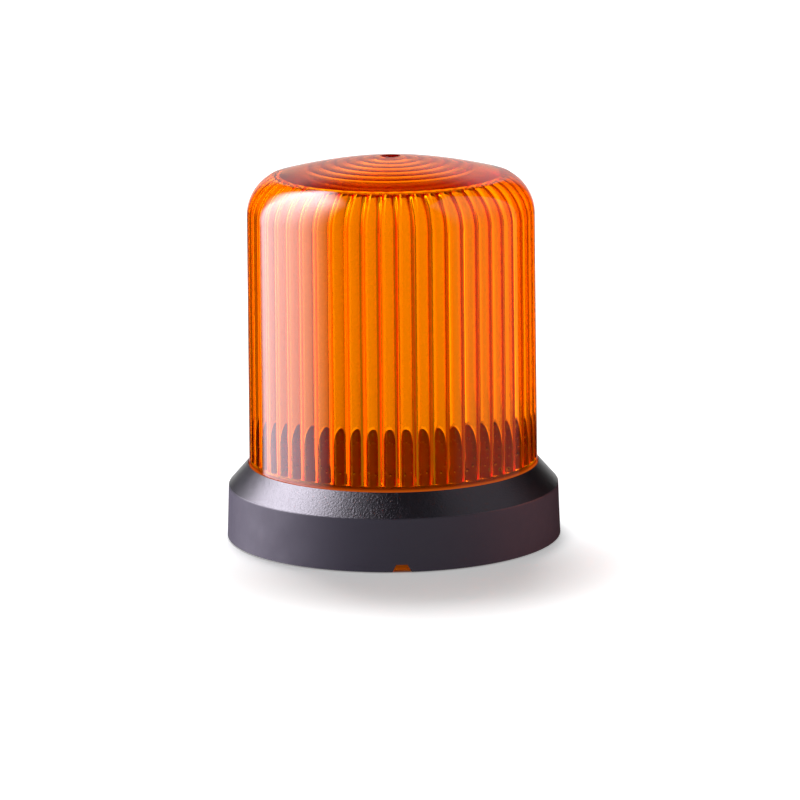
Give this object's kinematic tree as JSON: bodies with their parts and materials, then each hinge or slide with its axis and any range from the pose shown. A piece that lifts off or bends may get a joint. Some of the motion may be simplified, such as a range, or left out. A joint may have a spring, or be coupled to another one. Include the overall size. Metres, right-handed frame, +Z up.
{
  "type": "led beacon",
  "caption": "Round amber signal beacon with a smooth, inside-fluted dome on a low black base ring; the dome turns off a bayonet cup that is bolted down from below.",
  "frame": {"origin": "middle of the underside, on the surface the beacon stands on", "axes": "+Z up along the dome's axis, front at -Y, where the ring has its drain notch"},
  "size_m": [0.098, 0.098, 0.1118],
  "materials": {
    "amber_lens": "clear amber polycarbonate, polished outside",
    "black_trim": "black, fine moulded grain",
    "black_housing": "black, moulded",
    "black_deck": "black, satin",
    "sealing_foam": "closed-cell sealing rubber",
    "soft_rubber": "soft black rubber",
    "insert_brass": "turned and knurled",
    "green_board": "glass-fibre board under green mask",
    "white_board": "aluminium-core board under white mask",
    "led_yellow": "yellow phosphor under a clear lens",
    "dark_steel": "blackened",
    "plain_steel": "zinc plated",
    "terminal_green": "moulded",
    "capacitor_can": "bright can",
    "ferrite_grey": "pressed ferrite",
    "package_black": "moulded",
    "fuse_brown": "moulded"
  },
  "bodies": {
    "base": {"base_housing": "black_housing", "led_cover": "black_deck", "mounting_gasket": "sealing_foam", "cable_grommet": "soft_rubber", "dome_seal": "soft_rubber", "mounting_inserts": "insert_brass", "driver_board": "green_board", "led_board": "white_board", "leds": "led_yellow", "cover_screws": "dark_steel", "driver_board_screws": "plain_steel", "terminal_block": "terminal_green", "terminal_screws": "plain_steel", "storage_capacitors": "capacitor_can", "power_inductor": "ferrite_grey", "bridge_rectifier": "package_black", "driver_chip": "package_black", "input_fuse": "fuse_brown", "board_connector": "package_black"},
    "cover": {"lens_dome": "amber_lens", "trim_ring": "black_trim"}
  },
  "joints": [
    {"name": "cover_turn", "type": "hinge", "parent": "base", "child": "cover", "pos_m": [0, 0, 0], "axis": [0, 0, 1], "range_deg": [0, 20]}
  ]
}
